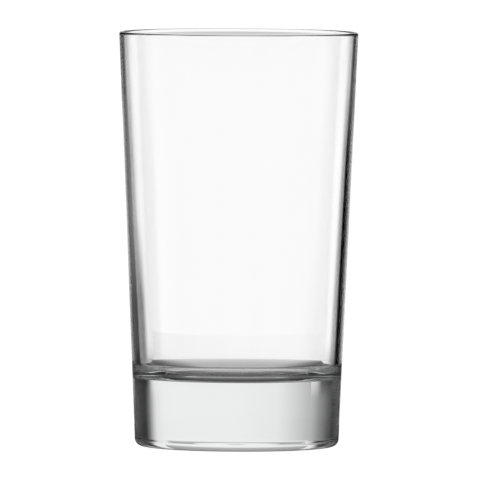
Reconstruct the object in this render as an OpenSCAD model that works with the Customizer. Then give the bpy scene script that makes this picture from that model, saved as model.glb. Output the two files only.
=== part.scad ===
// Heavy-base water tumbler, pressed and blown from one gob of glass.
// Millimetres. The glass stands on the table at height 0, with its axis on Z.

/* [Body] */
// Height from the table to the top of the lip
glass_height = 121; // [100:1:140]
// Outside diameter at the lip
rim_diameter = 70; // [64:1:80]
// Outside diameter at the table, where the straight side would meet it
base_diameter = 59.4; // [54:0.2:62]

/* [Wall] */
// Thickness of the wall at the lip
rim_wall = 1.5; // [1.2:0.1:2.4]
// Thickness of the wall at the level of the inside floor
foot_wall = 2.4; // [1.8:0.1:4]

/* [Floor] */
// Height of the inside floor's edge above the table
floor_height = 20; // [12:0.5:30]
// How far the middle of the inside floor lies below its edge
floor_dish = 0.3; // [0.2:0.1:1.5]
// Radius in which the wall sweeps into the inside floor
inner_heel_radius = 5; // [4:0.5:14]

/* [Foot] */
// Radius of the outside heel
heel_radius = 2.2; // [1.5:0.1:5]
// Width of the ring that the glass stands on
ring_width = 3.4; // [2.6:0.1:5]
// Height of the hollow under the base
hollow_height = 1.8; // [0.8:0.1:3]
// Radius in which the ring rolls into the hollow
roll_radius = 4; // [1:0.5:8]

/* [Stipple] */
// Number of marks pressed into the ring, which keep the hot glass off the belt
mark_count = 72; // [24:1:90]
// Length of a mark, outwards from the axis
mark_length = 1.9; // [1:0.1:2]
// Width of a mark at its mouth
mark_width = 0.9; // [0.5:0.1:1.2]
// Depth of a mark
mark_depth = 0.18; // [0.1:0.01:0.3]

/* [Hidden] */
$fn = 180;

rim_r = rim_diameter / 2;
base_r = base_diameter / 2;
bore_r = rim_r - rim_wall;
floor_r = outer_r(floor_height) - foot_wall;

// The lip is fire-polished to almost a full round, and two arcs share its wall
lip_share = 0.48;
lip_radius = lip_share * rim_wall;

// The side leans out, so its heel turns a little less than a right angle
lean = atan((rim_r - base_r) / glass_height);
heel_reach = heel_radius * tan((90 - lean) / 2);
ring_outer = base_r - heel_reach;
ring_corner = ring_outer - ring_width;

// The hollow and the inside floor are two straight slopes, each rounded from the axis over this share
// of what the other roundings leave of it. The rounding lowers the peak by half of the slope it covers
dome_share = 0.85;
hollow_reach = dome_share * ring_corner;
hollow_corner_z = hollow_height * ring_corner / (ring_corner - hollow_reach / 2);
hollow_slope = atan(hollow_corner_z / ring_corner);
floor_reach = dome_share * (floor_r - inner_heel_radius * tan((90 - lean) / 2));
floor_corner_z = floor_height - floor_dish * floor_r / (floor_r - floor_reach / 2);

// The flat of the ring starts where the roll out of the hollow ends
ring_inner = ring_corner + roll_radius * tan(hollow_slope / 2);
ring_middle = (ring_inner + ring_outer) / 2;

// A mark is the shallow cut of a round bar whose chord is the mark's width
mark_radius = (pow(mark_width / 2, 2) + pow(mark_depth, 2)) / (2 * mark_depth);
mark_step = 360 / mark_count;

// How far a rounding tool reaches past the corner it shapes, and its arc past the tangent
tool_reach = rim_wall / 4;
tangent_share = 0.00005;
dome_tangent_share = 0.00001;

// Outside radius of the straight side at a height
function outer_r(height) = base_r + (rim_r - base_r) * height / glass_height;

// Sharp corners of the section, from under the foot over the lip to the inside floor
hollow_top = [0, hollow_corner_z];
ring_edge = [ring_corner, 0];
heel = [base_r, 0];
lip_outside = [rim_r, glass_height];
lip_inside = [bore_r, glass_height];
floor_edge = [floor_r, floor_height];
floor_middle = [0, floor_corner_z];
up = [0, tool_reach];

function unit(v) = v / norm(v);

// Half the angle at p between the lines to its neighbours a and b
function half_angle(a, p, b) = acos(unit(a - p) * unit(b - p)) / 2;

// The sliver between a corner p and the arc that rounds it, run a little past the corner
module corner_sliver(a, p, b, radius, past = tangent_share) {
    half = half_angle(a, p, b);
    start = p + unit(a - p) * radius / tan(half);
    end = p + unit(b - p) * radius / tan(half);
    centre = p + unit(unit(a - p) + unit(b - p)) * radius / sin(half);
    difference() {
        polygon([
            start,
            start + unit(start - centre) * tool_reach,
            p + unit(p - centre) * tool_reach,
            end + unit(end - centre) * tool_reach,
            end,
        ]);
        translate(centre) circle(r = radius * (1 + past));
    }
}

// The sliver at a corner p on the axis, rounded out to a reach along the slope towards b
module axis_sliver(p, b, reach) {
    twin = [-b.x, b.y];
    radius = reach * tan(half_angle(twin, p, b));
    corner_sliver(twin, p, b, radius, dome_tangent_share);
}

// Right half of the outside, filled to the axis
module body_section() {
    difference() {
        polygon([[0, 0], heel, lip_outside, [0, glass_height]]);
        corner_sliver([0, 0], heel, lip_outside, heel_radius);
        corner_sliver(heel, lip_outside, lip_inside, lip_radius);
    }
}

// Right half of the inside, run out past the lip
module cavity_section() {
    difference() {
        polygon([
            floor_middle,
            floor_edge,
            lip_inside + unit(lip_inside - floor_edge) * tool_reach,
            [0, glass_height] + up,
        ]);
        corner_sliver(floor_middle, floor_edge, lip_inside, inner_heel_radius);
        axis_sliver(floor_middle, floor_edge, floor_reach);
    }
}

// Right half of the hollow under the base, run out below the table
module hollow_section() {
    difference() {
        polygon([-up, ring_edge - up, ring_edge, hollow_top]);
        axis_sliver(hollow_top, ring_edge, hollow_reach);
    }
}

// Right half of the whole glass
module glass_section() {
    difference() {
        body_section();
        cavity_section();
        hollow_section();
        corner_sliver(lip_outside, lip_inside, floor_edge, lip_radius);
        corner_sliver(hollow_top, ring_edge, heel, roll_radius);
    }
}

// One round bar, lying outwards from the axis, that presses a mark into the ring
module mark_tool() {
    translate([ring_middle, 0, mark_depth - mark_radius])
        rotate([0, 90, 0])
            cylinder(r = mark_radius, h = mark_length, center = true);
}

module tumbler() {
    color([0.84, 0.89, 0.89, 0.5])
        difference() {
            rotate_extrude() glass_section();
            for (i = [0:mark_count - 1]) rotate([0, 0, (i + 0.5) * mark_step]) mark_tool();
        }
}

tumbler();
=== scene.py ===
# %% [markdown]
# A clear heavy-base water tumbler, photographed against white.
# The real glass is one gob of soda-lime glass, pressed and blown in a mould, so the visual model is one
# mesh too. All of its character is in its section: a straight wall that thickens downwards, a deep
# round inner heel, a solid base, and a shallow hollow under it.

# %% Load the measured frame
import math

import bmesh
import bpy
from mathutils import Matrix, Quaternion, Vector


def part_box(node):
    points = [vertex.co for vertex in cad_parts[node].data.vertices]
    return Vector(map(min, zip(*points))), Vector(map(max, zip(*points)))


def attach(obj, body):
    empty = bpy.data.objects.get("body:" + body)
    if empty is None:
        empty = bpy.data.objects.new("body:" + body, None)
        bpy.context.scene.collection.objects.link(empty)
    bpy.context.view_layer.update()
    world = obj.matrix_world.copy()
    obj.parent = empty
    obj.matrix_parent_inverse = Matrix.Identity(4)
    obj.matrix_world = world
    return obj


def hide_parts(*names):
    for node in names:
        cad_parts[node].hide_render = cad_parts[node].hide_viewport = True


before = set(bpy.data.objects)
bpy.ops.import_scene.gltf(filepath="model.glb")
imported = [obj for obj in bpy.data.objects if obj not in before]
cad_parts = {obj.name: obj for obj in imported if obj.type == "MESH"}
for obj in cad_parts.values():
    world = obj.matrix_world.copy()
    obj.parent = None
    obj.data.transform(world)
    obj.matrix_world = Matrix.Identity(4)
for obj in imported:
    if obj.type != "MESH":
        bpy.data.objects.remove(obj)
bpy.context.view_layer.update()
low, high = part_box("tumbler")
print("CAD box in mm:", [round(1000 * v, 2) for v in (*low, *high)])

# %% [markdown]
# The sizes of the section are the real glass's own, in metres. The height comes from the frame, and the
# rest are the same driving dimensions that the CAD part has, so both models share one shape.

# %% Sizes of the section
MM = 0.001
HEIGHT = high.z - low.z
RIM_RADIUS = 35 * MM
BASE_RADIUS = 29.7 * MM
RIM_WALL = 1.5 * MM
FOOT_WALL = 2.4 * MM
FLOOR_HEIGHT = 20 * MM
FLOOR_DISH = 0.3 * MM
INNER_HEEL_RADIUS = 5 * MM
HEEL_RADIUS = 2.2 * MM
RING_WIDTH = 3.4 * MM
HOLLOW_HEIGHT = 1.8 * MM
ROLL_RADIUS = 4 * MM
LIP_SHARE = 0.48
DOME_SHARE = 0.85
LIP_RADIUS = LIP_SHARE * RIM_WALL

lean = math.atan((RIM_RADIUS - BASE_RADIUS) / HEIGHT)
side_at_floor = BASE_RADIUS + FLOOR_HEIGHT * math.tan(lean)
corner_share = math.tan((math.pi / 2 - lean) / 2)

lip_outside = Vector((RIM_RADIUS, 0, HEIGHT))
lip_inside = Vector((RIM_RADIUS - RIM_WALL, 0, HEIGHT))
floor_edge = Vector((side_at_floor - FOOT_WALL, 0, FLOOR_HEIGHT))
floor_reach = DOME_SHARE * (floor_edge.x - INNER_HEEL_RADIUS * corner_share)
floor_slope = FLOOR_DISH / (floor_edge.x - floor_reach / 2)
floor_middle = Vector((0, 0, FLOOR_HEIGHT - floor_slope * floor_edge.x))
heel = Vector((BASE_RADIUS, 0, 0))
ring_outer = BASE_RADIUS - HEEL_RADIUS * corner_share
ring_edge = Vector((ring_outer - RING_WIDTH, 0, 0))
hollow_reach = DOME_SHARE * ring_edge.x
hollow_slope = HOLLOW_HEIGHT / (ring_edge.x - hollow_reach / 2)
hollow_top = Vector((0, 0, hollow_slope * ring_edge.x))
print("lean of the side:", round(math.degrees(lean), 2), "degrees")


# %% [markdown]
# Half of the section is drawn once and spun round the axis, as a lathe would turn it. A dome is the arc
# that a single vertex sweeps when it is spun about the dome's own centre. The other corners start
# sharp and are bevelled, each with the set-back that gives its true radius.

# %% Helpers for the section
def set_back(before, corner, after, radius):
    """How far from a corner an arc of this radius leaves its two lines."""
    half = (before - corner).angle(after - corner) / 2
    return radius / math.tan(half)


def dome(bm, top, edge, reach, steps):
    """A chain of vertices from the axis along the arc that rounds the corner at top."""
    half = math.atan2(edge.x, abs(edge.z - top.z))
    radius = reach * math.tan(half)
    side = 1 if edge.z > top.z else -1
    centre = Vector((0, 0, top.z + side * radius / math.sin(half)))
    start = bm.verts.new((0, 0, centre.z - side * radius))
    swept = bmesh.ops.spin(
        bm,
        geom=[start],
        cent=centre,
        axis=(0, -side, 0),
        angle=math.pi / 2 - half,
        steps=steps,
        use_merge=False,
        use_duplicate=False,
    )
    end = [item for item in swept["geom_last"] if isinstance(item, bmesh.types.BMVert)][0]
    print("dome from", [round(c / MM, 2) for c in start.co], "to", [round(c / MM, 2) for c in end.co])
    return end


def run_to(bm, last, place):
    """A straight stretch of the section from the last vertex to a new one."""
    vert = bm.verts.new(place)
    bm.edges.new((last, vert))
    return vert


def round_corner(bm, vert, before, after, radius, steps):
    """Bevels one vertex of the section to an arc."""
    bmesh.ops.bevel(
        bm,
        geom=[vert],
        offset=set_back(before, vert.co.copy(), after, radius),
        offset_type="OFFSET",
        segments=steps,
        profile=0.5,
        affect="VERTICES",
        material=-1,
    )


# %% Draw half of the section
DOME_STEPS = 24
INNER_HEEL_STEPS = 28
LIP_STEPS = 10
HEEL_STEPS = 14
ROLL_STEPS = 4

section = bmesh.new()
last = dome(section, floor_middle, floor_edge, floor_reach, DOME_STEPS)
inner_heel = run_to(section, last, floor_edge)
inner_lip = run_to(section, inner_heel, lip_inside)
outer_lip = run_to(section, inner_lip, lip_outside)
outer_heel = run_to(section, outer_lip, heel)
ring_roll = run_to(section, outer_heel, ring_edge)
hollow_end = dome(section, hollow_top, ring_edge, hollow_reach, DOME_STEPS)
section.edges.new((ring_roll, hollow_end))

round_corner(section, inner_heel, floor_middle, lip_inside, INNER_HEEL_RADIUS, INNER_HEEL_STEPS)
round_corner(section, inner_lip, floor_edge, lip_outside, LIP_RADIUS, LIP_STEPS)
round_corner(section, outer_lip, lip_inside, heel, LIP_RADIUS, LIP_STEPS)
round_corner(section, outer_heel, lip_outside, ring_edge, HEEL_RADIUS, HEEL_STEPS)
round_corner(section, ring_roll, heel, hollow_top, ROLL_RADIUS, ROLL_STEPS)

# %% [markdown]
# Smooth shading bends the light near an arc's end over the whole of the next face. So each long
# straight stretch gets a vertex close to both its ends, which keeps the wall and the ring straight in
# the glass's light too.

# %% Keep the straight stretches straight
GUARD = 0.25 * MM


def add_vertex(edge, end, distance):
    """A new vertex on the edge at a distance from one of its ends."""
    bmesh.utils.edge_split(edge, end, distance / edge.calc_length())


for edge in [e for e in section.edges if e.calc_length() > 4 * GUARD]:
    for end in edge.verts[:]:
        add_vertex(edge, end, GUARD)
print("section:", len(section.verts), "vertices,", len(section.edges), "edges")

# %% [markdown]
# The standing ring is stippled: short marks pressed into it keep the hot glass off the conveyor belt.
# The flat of the ring gets two more vertices, so that the turned mesh has a band as wide as a mark is
# long.

# %% A band for the marks
MARK_COUNT = 72
MARK_LENGTH = 1.9 * MM
MARK_DEPTH = 0.18 * MM
ON_TABLE = 0.001 * MM

ring_inner = ring_edge.x + ROLL_RADIUS * math.tan(math.atan(hollow_slope) / 2)
ring_middle = (ring_inner + ring_outer) / 2
ring_edges = [e for e in section.edges if max(v.co.z for v in e.verts) < ON_TABLE]
flat = max(ring_edges, key=lambda e: e.calc_length())
for end in flat.verts[:]:
    add_vertex(flat, end, abs(end.co.x - ring_middle) - MARK_LENGTH / 2)
print("band:", sorted(round(v.co.x / MM, 2) for v in flat.verts), "mm from the axis")

# %% Turn it
STEPS = 360
SAME_PLACE = 0.002 * MM

bmesh.ops.spin(
    section,
    geom=section.verts[:] + section.edges[:],
    cent=(0, 0, 0),
    axis=(0, 0, 1),
    angle=2 * math.pi,
    steps=STEPS,
    use_merge=True,
    use_duplicate=False,
)
bmesh.ops.remove_doubles(section, verts=section.verts[:], dist=SAME_PLACE)
bmesh.ops.recalc_face_normals(section, faces=section.faces[:])
open_edges = sum(len(e.link_faces) != 2 for e in section.edges)
print("turned:", len(section.faces), "faces, open edges:", open_edges)
print("volume in ml:", round(section.calc_volume(signed=True) * 1e6, 2))

# %% [markdown]
# Each mark is two faces of the band. They are inset and lifted twice, so its sides are round, as in
# the mould. The mesh is first turned by half a face, so that each face's middle lies at a whole degree.

# %% Press the marks
MARK_EVERY = STEPS // MARK_COUNT
MARK_FACES = (2, 3)
MARK_INSET = 0.14 * MM
PRESS_SHARES = (0.6, 0.4)

half_face = math.pi / STEPS
bmesh.ops.rotate(
    section, verts=section.verts[:], cent=(0, 0, 0), matrix=Matrix.Rotation(half_face, 3, "Z")
)
marks = []
for face in section.faces:
    middle = face.calc_center_median()
    step = round(math.degrees(math.atan2(middle.y, middle.x))) % MARK_EVERY
    in_band = abs(middle.xy.length - ring_middle) < MARK_LENGTH / 4
    if middle.z < ON_TABLE and in_band and step in MARK_FACES:
        marks.append(face)
for share in PRESS_SHARES:
    bmesh.ops.inset_region(
        section, faces=marks, thickness=MARK_INSET, depth=-share * MARK_DEPTH, use_even_offset=True
    )
print("marks:", len(marks) // 2, "faces now:", len(section.faces))

mesh = bpy.data.meshes.new("tumbler_glass")
section.to_mesh(mesh)
section.free()
for face in mesh.polygons:
    face.use_smooth = True
glass = bpy.data.objects.new("tumbler_glass", mesh)
bpy.context.scene.collection.objects.link(glass)

# %% [markdown]
# The material is clear glass: light passes through it, bends at each face and mirrors off the steep
# ones. Three things keep it from being perfect. The thick base swallows a little light, so a volume
# takes some out of every colour, and a touch less out of green. The wall is faintly wavy, as it was
# blown into its mould: long upright waves, a few hundredths of a millimetre deep. And the ring that it
# stands on is scratched and a little frosted by the tables and trays it has slid over.

# %% Clear glass
def new_material(name):
    """A material with an empty node tree and its output node."""
    material = bpy.data.materials.new(name)
    material.use_nodes = True
    material.node_tree.nodes.clear()
    output = material.node_tree.nodes.new("ShaderNodeOutputMaterial")
    return material, material.node_tree, output


INDEX = 1.52
TINT = (0.78, 0.795, 0.79, 1)
TINT_DENSITY = 10
WAVES_PER_METRE = 60
WAVE_STRETCH = 0.3
WAVE_DEPTH = 0.03 * MM
WORN_HEIGHT = 0.03 * MM
WORN_ROUGHNESS = 0.6
SCRATCH_SIZE = 0.4 * MM

clear, tree, output = new_material("clear_glass")
shader = tree.nodes.new("ShaderNodeBsdfPrincipled")
shader.inputs["Base Color"].default_value = (1, 1, 1, 1)
shader.inputs["Transmission Weight"].default_value = 1
shader.inputs["IOR"].default_value = INDEX
tree.links.new(shader.outputs["BSDF"], output.inputs["Surface"])

places = tree.nodes.new("ShaderNodeTexCoord")
stretch = tree.nodes.new("ShaderNodeMapping")
stretch.inputs["Scale"].default_value = (1, 1, WAVE_STRETCH)
tree.links.new(places.outputs["Object"], stretch.inputs["Vector"])
waves = tree.nodes.new("ShaderNodeTexNoise")
waves.inputs["Scale"].default_value = WAVES_PER_METRE
waves.inputs["Detail"].default_value = 1
tree.links.new(stretch.outputs["Vector"], waves.inputs["Vector"])
wavy = tree.nodes.new("ShaderNodeBump")
wavy.inputs["Strength"].default_value = 1
wavy.inputs["Distance"].default_value = WAVE_DEPTH
tree.links.new(waves.outputs["Fac"], wavy.inputs["Height"])
tree.links.new(wavy.outputs["Normal"], shader.inputs["Normal"])

axes = tree.nodes.new("ShaderNodeSeparateXYZ")
tree.links.new(places.outputs["Object"], axes.inputs["Vector"])
worn = tree.nodes.new("ShaderNodeMapRange")
worn.inputs["From Min"].default_value = WORN_HEIGHT
worn.inputs["From Max"].default_value = 0
worn.inputs["To Max"].default_value = WORN_ROUGHNESS
tree.links.new(axes.outputs["Z"], worn.inputs["Value"])
scratches = tree.nodes.new("ShaderNodeTexNoise")
scratches.inputs["Scale"].default_value = 1 / SCRATCH_SIZE
scratches.inputs["Detail"].default_value = 4
tree.links.new(places.outputs["Object"], scratches.inputs["Vector"])
frost = tree.nodes.new("ShaderNodeMath")
frost.operation = "MULTIPLY"
tree.links.new(worn.outputs["Result"], frost.inputs[0])
tree.links.new(scratches.outputs["Fac"], frost.inputs[1])
tree.links.new(frost.outputs["Value"], shader.inputs["Roughness"])

body_tint = tree.nodes.new("ShaderNodeVolumeAbsorption")
body_tint.inputs["Color"].default_value = TINT
body_tint.inputs["Density"].default_value = TINT_DENSITY
tree.links.new(body_tint.outputs["Volume"], output.inputs["Volume"])
glass.data.materials.append(clear)

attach(glass, "root")
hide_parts("tumbler")

# %% [markdown]
# A long lens far away looks almost level at the glass, so its rim and foot show as thin ellipses.

# %% Camera
DISTANCE = 3.7
CAMERA_HEIGHT = 0.235
AIM = Vector((0.00066, 0, 0.0602))
FRAME_WIDTH = 0.1402
ROLL = math.radians(0.3)
SENSOR = 36

camera_data = bpy.data.cameras.new("camera")
camera = bpy.data.objects.new("camera", camera_data)
bpy.context.scene.collection.objects.link(camera)
camera.location = (AIM.x, -DISTANCE, CAMERA_HEIGHT)
camera.rotation_mode = "QUATERNION"
look = (AIM - camera.location).to_track_quat("-Z", "Y")
camera.rotation_quaternion = look @ Quaternion((0, 0, 1), ROLL)
camera_data.sensor_width = SENSOR
camera_data.lens = SENSOR * (AIM - camera.location).length / FRAME_WIDTH
camera_data.clip_start = 0.1
camera_data.clip_end = 100
bpy.context.scene.camera = camera

# %% [markdown]
# Clear glass has no colour of its own to show: it shows the studio, bent. So most of this picture is
# made by what stands round the glass. It is a bright-field set, as glassware is shot for a catalogue.
# Screens of paper are bent round the glass 10 cm away, open behind. They are pale in front, where only
# faint mirrorings show them, and their black and grey stretches at the sides draw the dark outlines of
# the wall. A low strip closes the opening at the height of the base, a lit panel stands farther back,
# and the table under the foot carries painted shade and a painted ring of light. The camera doesn't see
# these pieces, only the glass does.

# %% Helpers for the pieces of the set
def ramp(tree, value, first, last, stops):
    """Strength along a value, in metres or radians, from (place, strength) stops in a range."""
    share = tree.nodes.new("ShaderNodeMapRange")
    share.inputs["From Min"].default_value = first
    share.inputs["From Max"].default_value = last
    tree.links.new(value, share.inputs["Value"])
    colours = tree.nodes.new("ShaderNodeValToRGB")
    colours.color_ramp.interpolation = "LINEAR"
    elements = colours.color_ramp.elements
    while len(elements) > 1:
        elements.remove(elements[-1])
    for i, (place, strength) in enumerate(stops):
        at = (place - first) / (last - first)
        element = elements[0] if i == 0 else elements.new(at)
        element.position = at
        element.color = (strength, strength, strength, 1)
    tree.links.new(share.outputs["Result"], colours.inputs["Fac"])
    return colours.outputs["Color"]


def stage_piece(name, bm):
    """Adds a bmesh as a piece of the set that only the glass sees."""
    mesh = bpy.data.meshes.new(name)
    bm.to_mesh(mesh)
    bm.free()
    piece = bpy.data.objects.new(name, mesh)
    bpy.context.scene.collection.objects.link(piece)
    piece.visible_camera = False
    piece.visible_diffuse = False
    piece.visible_shadow = False
    return piece


def glow(piece, make):
    """Gives a set piece light of its own, whose strength the function make works out in its nodes."""
    material, tree, output = new_material(piece.name)
    light = tree.nodes.new("ShaderNodeEmission")
    places = tree.nodes.new("ShaderNodeTexCoord")
    axes = tree.nodes.new("ShaderNodeSeparateXYZ")
    tree.links.new(places.outputs["Object"], axes.inputs["Vector"])
    tree.links.new(make(tree, axes, places), light.inputs["Color"])
    tree.links.new(light.outputs["Emission"], output.inputs["Surface"])
    material.cycles.emission_sampling = "NONE"
    piece.data.materials.append(material)


# %% Helpers that mix light in the nodes
def degrees(stops):
    """Stops whose places are given in degrees to the right of straight behind."""
    return [(math.radians(place), strength) for place, strength in stops]


def mix(tree, share, first, second):
    """Goes from the first colour to the second as the share goes from 0 to 1."""
    blend = tree.nodes.new("ShaderNodeMix")
    blend.data_type = "RGBA"
    tree.links.new(share, blend.inputs["Factor"])
    tree.links.new(first, blend.inputs[6])
    tree.links.new(second, blend.inputs[7])
    return blend.outputs[2]


def combine(tree, operation, first, second):
    """Two strengths multiplied or added."""
    result = tree.nodes.new("ShaderNodeVectorMath")
    result.operation = operation
    tree.links.new(first, result.inputs[0])
    tree.links.new(second, result.inputs[1])
    return result.outputs["Vector"]


def azimuth(tree, axes):
    """How far round to the right a place is, in radians from straight behind."""
    turn = tree.nodes.new("ShaderNodeMath")
    turn.operation = "ARCTAN2"
    tree.links.new(axes.outputs["X"], turn.inputs[0])
    tree.links.new(axes.outputs["Y"], turn.inputs[1])
    return turn.outputs["Value"]


def round_light(tree, axes, stops):
    """Strength that changes with how far round a place is, with the stops in degrees."""
    return ramp(tree, azimuth(tree, axes), -math.pi, math.pi, degrees(stops))


# %% [markdown]
# The light of a screen changes round the glass and with height, because each level of the wall shows
# its own level of the screens. The base, whose sides are thick, needs broad dark stretches and soft
# slopes at their ends. The wall needs narrow dark stretches, and above the lip the screens dim.

# %% Paper screens round the glass, open behind it
SCREEN_RADIUS = 0.1
SCREEN_HEIGHT = 0.4
SCREEN_STEPS = 72
OPENING = 22


def screen_light(tree, axes, places):
    """The light of the screens, by how far round they are, and by height."""
    upper = round_light(tree, axes, [
        (-180, 0.6), (-108, 0.6), (-85, 0.65), (-68, 0.9), (-55, 0.5), (-46, 0.05),
        (-38, 0.0), (-33, 0.15), (-29, 0.95), (-22, 1.03), (22, 1.03), (29, 1.0), (33, 0.2),
        (38, 0.0), (47, 0.0), (55, 0.5), (68, 0.9), (85, 0.65), (108, 0.6), (180, 0.6),
    ])
    middle = round_light(tree, axes, [
        (-180, 0.6), (-108, 0.6), (-85, 0.65), (-66, 0.7), (-55, 0.25), (-44, 0.15),
        (-38, 0.0), (-33, 0.1), (-29, 0.95), (-22, 1.03), (22, 1.03), (29, 1.0), (32, 0.2),
        (34, 0.0), (58, 0.0), (63, 0.8), (70, 1.05), (85, 0.78), (100, 0.6), (180, 0.6),
    ])
    lower = round_light(tree, axes, [
        (-180, 0.6), (-108, 0.6), (-85, 0.6), (-66, 0.1), (-55, 0.05), (-44, 0.1),
        (-38, 0.0), (-29, 0.0), (-25, 0.95), (-22, 1.03), (22, 1.03), (29, 1.0), (32, 0.2),
        (34, 0.0), (58, 0.0), (63, 0.8), (70, 1.0), (85, 0.75), (100, 0.6), (180, 0.6),
    ])
    foot = round_light(tree, axes, [
        (-180, 0.35), (-115, 0.35), (-90, 0.0), (-44, 0.0), (-36, 0.11), (-28, 0.31), (-22, 0.57),
        (22, 1.0), (27, 0.9), (33, 0.17), (37, 0.0), (60, 0.0), (75, 0.14), (90, 0.1),
        (115, 0.35), (180, 0.35),
    ])
    height = axes.outputs["Z"]
    above_foot = ramp(tree, height, 0, 0.03, [(0.014, 0.0), (0.022, 1.0)])
    above_lower = ramp(tree, height, 0, 0.1, [(0.035, 0.0), (0.06, 1.0)])
    above_middle = ramp(tree, height, 0, 0.2, [(0.08, 0.0), (0.1, 1.0)])
    below_lip = ramp(tree, height, 0, 0.4, [(0.115, 1.0), (0.125, 0.5), (0.2, 0.3), (0.4, 0.2)])
    wall = mix(tree, above_lower, lower, mix(tree, above_middle, middle, upper))
    return combine(tree, "MULTIPLY", mix(tree, above_foot, foot, wall), below_lip)


def screen(name, radius, start, sweep, height, light):
    """Paper bent round the glass from a start angle over a sweep, in degrees to the right."""
    bm = bmesh.new()
    around = math.radians(start)
    bottom = bm.verts.new((radius * math.sin(around), radius * math.cos(around), 0))
    top = bm.verts.new(bottom.co + Vector((0, 0, height)))
    edge = bm.edges.new((bottom, top))
    bmesh.ops.spin(
        bm,
        geom=[bottom, top, edge],
        cent=(0, 0, 0),
        axis=(0, 0, -1),
        angle=math.radians(sweep),
        steps=SCREEN_STEPS,
        use_merge=False,
        use_duplicate=False,
    )
    glow(stage_piece(name, bm), light)


screen("right_screen", SCREEN_RADIUS, OPENING, 180 - OPENING, SCREEN_HEIGHT, screen_light)
screen("left_screen", SCREEN_RADIUS, 180, 180 - OPENING, SCREEN_HEIGHT, screen_light)

# %% [markdown]
# Seen level, the base shows only what stands low behind it. So a strip as high as the base closes the
# opening farther back. The base is a thick lens that swaps left and right, so the strip's light, which
# falls off to the left, gives the base its soft right side.

# %% A low strip across the opening
STRIP_RADIUS = 0.2
STRIP_HEIGHT = 0.0195
STRIP_REACH = 30


def strip_light(tree, axes, places):
    """The light of the strip, which shades off to the left."""
    return round_light(tree, axes, [
        (-30, 0.5), (-27, 0.57), (-20, 0.74), (-13, 0.94), (0, 1.0), (30, 1.0),
    ])


screen("low_strip", STRIP_RADIUS, -STRIP_REACH, 2 * STRIP_REACH, STRIP_HEIGHT, strip_light)

# %% [markdown]
# The wall is seen against the panel, so the panel is white up to the height that shows in it. A dim
# line runs across it just below the lip's level, and shows in the mouth as its grey. The heel throws
# the view upwards, so the panel's dimmer top makes the grey line along the foot.

# %% The lit panel behind the opening
PANEL_DISTANCE = 0.6
PANEL_REACH = 1


def panel_light(tree, axes, places):
    """The light of the panel, by height."""
    return ramp(tree, axes.outputs["Z"], 0, 0.8, [
        (0.095, 1.03), (0.0985, 0.85), (0.1005, 0.5), (0.103, 0.6), (0.11, 1.0), (0.12, 0.9),
        (0.135, 0.6), (0.2, 0.5), (0.28, 0.42), (0.8, 0.2),
    ])


bm = bmesh.new()
bmesh.ops.create_grid(bm, x_segments=1, y_segments=1, size=PANEL_REACH)
bmesh.ops.rotate(bm, verts=bm.verts, cent=(0, 0, 0), matrix=Matrix.Rotation(math.pi / 2, 3, "X"))
bmesh.ops.translate(bm, verts=bm.verts, vec=(0, PANEL_DISTANCE, PANEL_REACH))
glow(stage_piece("lit_panel", bm), panel_light)

# %% [markdown]
# The inside floor and the heel look down at the table, close by. Its shade and light are painted:
# painted shade of the glass under its foot, and a painted bright ring round it in front, where the
# light through the base would gather. Behind, painted light makes the table lighter towards the strip,
# and past the strip it is as white as the panel.

# %% The table under the glass, with painted shade and painted light
SHADE_RADIUS = 0.65
SHADE_STEPS = 144
SHADE_DROP = 0.05 * MM
WHITE = 1.03


def painted_table_light(tree, axes, places):
    """Painted shade under the foot, painted light in front of it and behind it, and even white far
    behind.
    """
    flat = tree.nodes.new("ShaderNodeVectorMath")
    flat.operation = "MULTIPLY"
    flat.inputs[1].default_value = (1, 1, 0)
    tree.links.new(places.outputs["Object"], flat.inputs[0])
    length = tree.nodes.new("ShaderNodeVectorMath")
    length.operation = "LENGTH"
    tree.links.new(flat.outputs["Vector"], length.inputs[0])
    radius = length.outputs["Value"]
    # Painted shade under the foot, and a painted bright ring in front of it where light through the
    # base would gather.
    painted_front_light = combine(
        tree, "MULTIPLY",
        ramp(tree, radius, 0, 0.1, [
            (0, 0.05), (0.02, 0.08), (0.024, 0.12), (0.028, 0.25), (0.031, 0.5), (0.034, 0.8),
            (0.042, 0.8), (0.055, 0.3), (0.1, 0.2),
        ]),
        round_light(tree, axes, [
            (-180, 1.0), (-165, 1.0), (-135, 0.75), (-108, 0.2), (-90, 0.05),
            (90, 0.05), (108, 0.2), (135, 0.75), (165, 1.0), (180, 1.0),
        ]),
    )
    # Painted shade under the foot, and painted light behind it that grows towards the strip.
    behind = combine(
        tree, "MULTIPLY",
        ramp(tree, radius, 0, 0.2, [
            (0, 0.04), (0.04, 0.03), (0.056, 0.46), (0.08, 0.48), (0.1, 0.56), (0.15, 0.72),
            (0.2, 0.8),
        ]),
        round_light(tree, axes, [
            (-60, 0.0), (-20, 0.15), (-15, 0.35), (-12, 0.65), (-9, 1.0),
            (9, 1.0), (12, 0.8), (15, 0.4), (20, 0.15), (60, 0.0),
        ]),
    )
    before_strip = ramp(tree, axes.outputs["Y"], 0, 0.3, [(0.155, 0.0), (0.172, 1.0)])
    past_strip = ramp(tree, axes.outputs["Y"], 0, 0.3, [(0.2, 0.0), (0.21, 1.0)])
    white = ramp(tree, radius, 0, 1, [(0, WHITE)])
    table = combine(tree, "ADD", painted_front_light, behind)
    near = mix(tree, before_strip, table, strip_light(tree, axes, places))
    return mix(tree, past_strip, near, white)


# A disc that only the glass sees, whose light paints the glass's shade and a ring of light on the
# table.
bm = bmesh.new()
bmesh.ops.create_circle(bm, cap_ends=True, segments=SHADE_STEPS, radius=SHADE_RADIUS)
bmesh.ops.translate(bm, verts=bm.verts, vec=(0, 0, -SHADE_DROP))
glow(stage_piece("shaded_table", bm), painted_table_light)

# %% The room above
ROOM_RADIUS = 2.5


def room_light(tree, axes, places):
    """The light of the room, which is dimmer higher up."""
    return ramp(tree, axes.outputs["Z"], 0, ROOM_RADIUS, [(0.5, 0.15), (1.5, 0.05)])


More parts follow.
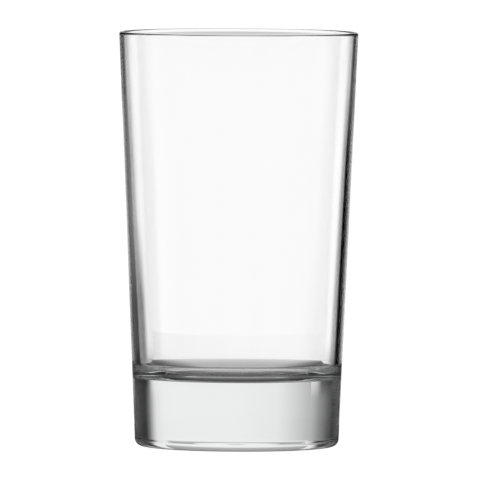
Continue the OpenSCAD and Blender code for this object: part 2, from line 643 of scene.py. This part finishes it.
bm = bmesh.new()
bmesh.ops.create_uvsphere(bm, u_segments=48, v_segments=24, radius=ROOM_RADIUS)
glow(stage_piece("dim_room", bm), room_light)

# %% [markdown]
# The glass stands on a plain white floor that runs out to the horizon under a white world, and both
# look white to the camera and in the glass. For other light the floor is grey paper, so the glass's
# shadow falls on it faintly. From below the floor is clear, so the foot can be seen.

# %% Floor and background
FLOOR_RADIUS = 40
FLOOR_DROP = 0.1 * MM

bm = bmesh.new()
bmesh.ops.create_circle(bm, cap_ends=True, segments=96, radius=FLOOR_RADIUS)
bmesh.ops.translate(bm, verts=bm.verts, vec=(0, 0, -FLOOR_DROP))
mesh = bpy.data.meshes.new("floor")
bm.to_mesh(mesh)
bm.free()
floor = bpy.data.objects.new("floor", mesh)
bpy.context.scene.collection.objects.link(floor)


def seen_directly(tree):
    """1 for rays of the camera, of reflections and through glass, and 0 for the rest."""
    path = tree.nodes.new("ShaderNodeLightPath")
    first = tree.nodes.new("ShaderNodeMath")
    first.operation = "MAXIMUM"
    second = tree.nodes.new("ShaderNodeMath")
    second.operation = "MAXIMUM"
    tree.links.new(path.outputs["Is Camera Ray"], first.inputs[0])
    tree.links.new(path.outputs["Is Glossy Ray"], first.inputs[1])
    tree.links.new(first.outputs["Value"], second.inputs[0])
    tree.links.new(path.outputs["Is Transmission Ray"], second.inputs[1])
    return second.outputs["Value"]


FLOOR_GLOW = 0.95
FLOOR_PAPER = (0.25, 0.25, 0.25, 1)

material, tree, output = new_material("floor")
paper = tree.nodes.new("ShaderNodeBsdfDiffuse")
paper.inputs["Color"].default_value = FLOOR_PAPER
light = tree.nodes.new("ShaderNodeEmission")
light.inputs["Strength"].default_value = FLOOR_GLOW
both = tree.nodes.new("ShaderNodeAddShader")
tree.links.new(paper.outputs["BSDF"], both.inputs[0])
tree.links.new(light.outputs["Emission"], both.inputs[1])
choose = tree.nodes.new("ShaderNodeMixShader")
tree.links.new(seen_directly(tree), choose.inputs["Fac"])
tree.links.new(paper.outputs["BSDF"], choose.inputs[1])
tree.links.new(both.outputs["Shader"], choose.inputs[2])
clear_below = tree.nodes.new("ShaderNodeBsdfTransparent")
side = tree.nodes.new("ShaderNodeNewGeometry")
from_above = tree.nodes.new("ShaderNodeMixShader")
tree.links.new(side.outputs["Backfacing"], from_above.inputs["Fac"])
tree.links.new(choose.outputs["Shader"], from_above.inputs[1])
tree.links.new(clear_below.outputs["BSDF"], from_above.inputs[2])
tree.links.new(from_above.outputs["Shader"], output.inputs["Surface"])
material.cycles.emission_sampling = "NONE"
floor.data.materials.append(material)

# %% World
WORLD_LIGHT = 0.6

world = bpy.data.worlds.new("studio")
bpy.context.scene.world = world
world.use_nodes = True
tree = world.node_tree
tree.nodes.clear()
output = tree.nodes.new("ShaderNodeOutputWorld")
seen = tree.nodes.new("ShaderNodeBackground")
seen.inputs["Color"].default_value = (1, 1, 1, 1)
seen.inputs["Strength"].default_value = 1
lit = tree.nodes.new("ShaderNodeBackground")
lit.inputs["Strength"].default_value = WORLD_LIGHT
choose = tree.nodes.new("ShaderNodeMixShader")
tree.links.new(seen_directly(tree), choose.inputs["Fac"])
tree.links.new(lit.outputs["Background"], choose.inputs[1])
tree.links.new(seen.outputs["Background"], choose.inputs[2])
tree.links.new(choose.outputs["Shader"], output.inputs["Surface"])

# %% [markdown]
# Light crosses the wall four times and turns many times inside the base, so its paths need many
# bounces.

# %% Colour and bounces
BOUNCES = 24

bpy.context.scene.view_settings.view_transform = "Standard"
bpy.context.scene.cycles.max_bounces = BOUNCES
bpy.context.scene.cycles.transmission_bounces = BOUNCES
bpy.context.scene.cycles.glossy_bounces = BOUNCES
studio = [ob.name for ob in bpy.data.objects if ob.type == "MESH" and ob is not glass]
print("pieces of the studio:", sorted(studio))
